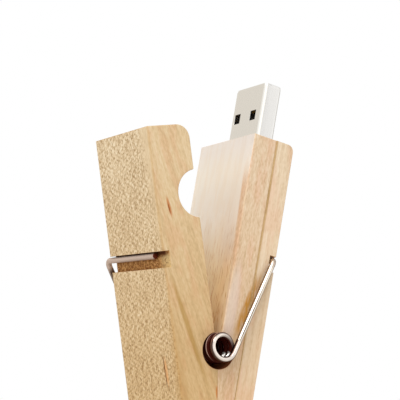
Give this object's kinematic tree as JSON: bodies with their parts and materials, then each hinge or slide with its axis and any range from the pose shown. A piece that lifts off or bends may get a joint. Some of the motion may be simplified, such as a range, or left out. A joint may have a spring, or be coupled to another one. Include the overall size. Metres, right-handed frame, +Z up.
{
  "type": "clothespin usb flash drive",
  "caption": "Wooden spring clothespin with a USB-A flash drive built into one leg: squeeze the handles to open the jaws, which the coil spring closes.",
  "frame": {"origin": "middle of the bounding box, on the plane that the handle ends stand on", "axes": "+Z up along the middle plane between the legs, towards the jaws; +X towards the leg with the plug; +Y along the coil axis, away from the front"},
  "size_m": [0.038, 0.0281, 0.1042],
  "materials": {
    "clip_wood": "fine sanded, unvarnished",
    "inner_wood": "fine sanded, unvarnished",
    "outer_wood": "fine sanded, unvarnished",
    "glue": "thin dark film",
    "spring_steel": "bright drawn wire",
    "plug_steel": "satin nickel plate",
    "black_plastic": "moulded",
    "contact_gold": "gold plate",
    "board": "solder mask",
    "chip_black": "moulded",
    "tin": "tinned",
    "lid_steel": "plated",
    "ceramic_pale": "fired",
    "ceramic_brown": "fired",
    "foam": "soft foam"
  },
  "bodies": {
    "drive_leg": {"drive_leg_inner_half": "inner_wood", "drive_leg_outer_half": "outer_wood", "seam_glue": "glue", "torsion_spring": "spring_steel", "plug_shell": "plug_steel", "plug_insulator": "black_plastic", "plug_contacts": "contact_gold", "circuit_board": "board", "flash_chip": "chip_black", "flash_chip_leads": "tin", "controller_chip": "chip_black", "controller_leads": "tin", "crystal_base": "ceramic_pale", "crystal_lid": "lid_steel", "capacitor_bodies": "ceramic_brown", "capacitor_ends": "tin", "resistor_bodies": "chip_black", "resistor_ends": "tin", "contact_solder": "tin", "shell_solder": "tin", "foam_tape_pad": "foam"},
    "clip_leg": {"clip_leg": "clip_wood"}
  },
  "joints": [
    {"name": "jaw_hinge", "type": "hinge", "parent": "drive_leg", "child": "clip_leg", "pos_m": [0, 0, 0.04321], "axis": [0, 1, 0], "range_deg": [0, 20.4], "stiffness_Nm_per_rad": 0.24, "springref_deg": 85.94, "deforming": ["torsion_spring"]}
  ]
}
